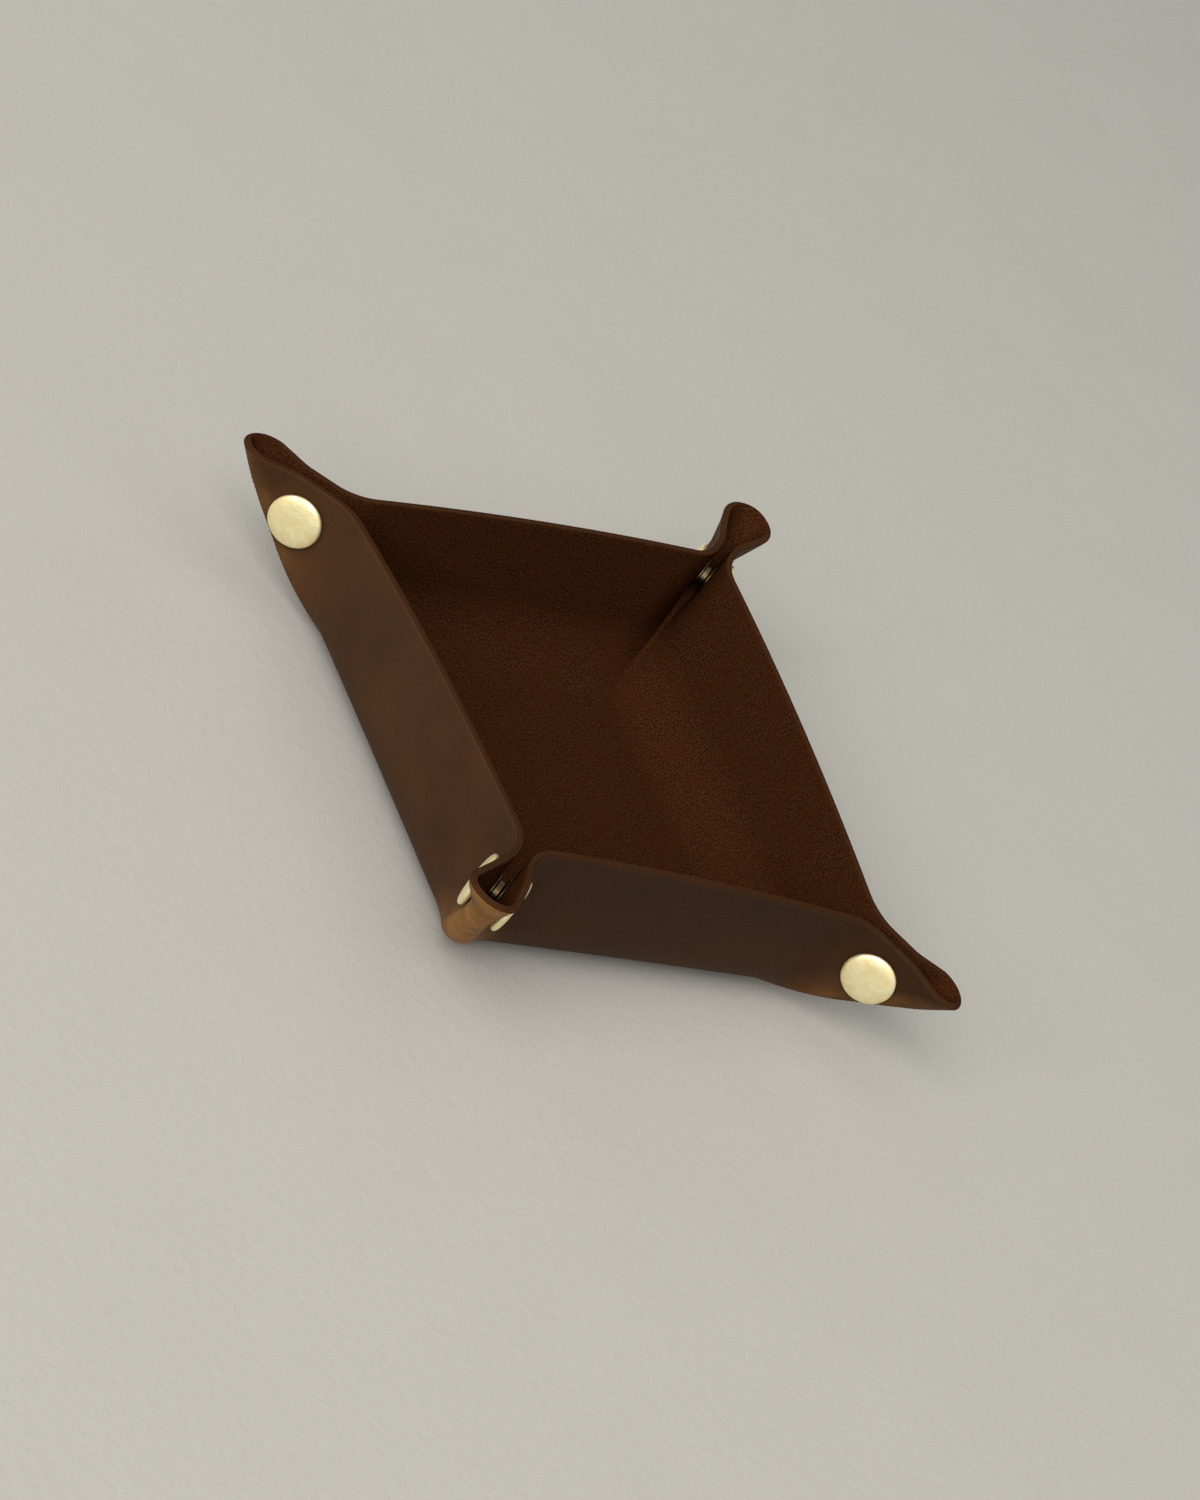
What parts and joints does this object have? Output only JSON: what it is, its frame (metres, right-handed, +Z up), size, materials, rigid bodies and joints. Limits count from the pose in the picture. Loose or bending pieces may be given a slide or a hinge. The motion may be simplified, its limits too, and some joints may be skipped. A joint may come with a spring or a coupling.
{
  "type": "jewelry tray",
  "caption": "Square catch-all tray folded from one thick leather sheet, its corners pinched into loops by brass press studs.",
  "frame": {"origin": "centre of the flat underside, on the surface that the tray stands on", "axes": "+Z up; the walls face +X, +Y, -X and -Y, and the corner loops lie on the diagonals"},
  "size_m": [0.1734, 0.1734, 0.05],
  "materials": {
    "leather": "waxed full-grain outside, suede inside",
    "brass": "satin",
    "spring_steel": "bright wire"
  },
  "bodies": {
    "tray": {"leather_sheet": "leather", "stud_1": "brass", "post_1": "brass", "stud_2": "brass", "post_2": "brass", "stud_3": "brass", "post_3": "brass", "stud_4": "brass", "post_4": "brass"},
    "snap_1": {"cap_1": "brass", "socket_1": "brass", "spring_1": "spring_steel"},
    "snap_2": {"cap_2": "brass", "socket_2": "brass", "spring_2": "spring_steel"},
    "snap_3": {"cap_3": "brass", "socket_3": "brass", "spring_3": "spring_steel"},
    "snap_4": {"cap_4": "brass", "socket_4": "brass", "spring_4": "spring_steel"}
  },
  "joints": [
    {"name": "snap_1_release", "type": "slide", "parent": "tray", "child": "snap_1", "axis": [-0.7071, 0.7071, 0], "range_m": [0, 0.005], "deforming": ["leather_sheet", "spring_1"]},
    {"name": "snap_2_release", "type": "slide", "parent": "tray", "child": "snap_2", "axis": [-0.7071, -0.7071, 0], "range_m": [0, 0.005], "deforming": ["leather_sheet", "spring_2"]},
    {"name": "snap_3_release", "type": "slide", "parent": "tray", "child": "snap_3", "axis": [0.7071, -0.7071, 0], "range_m": [0, 0.005], "deforming": ["leather_sheet", "spring_3"]},
    {"name": "snap_4_release", "type": "slide", "parent": "tray", "child": "snap_4", "axis": [0.7071, 0.7071, 0], "range_m": [0, 0.005], "deforming": ["leather_sheet", "spring_4"]}
  ]
}
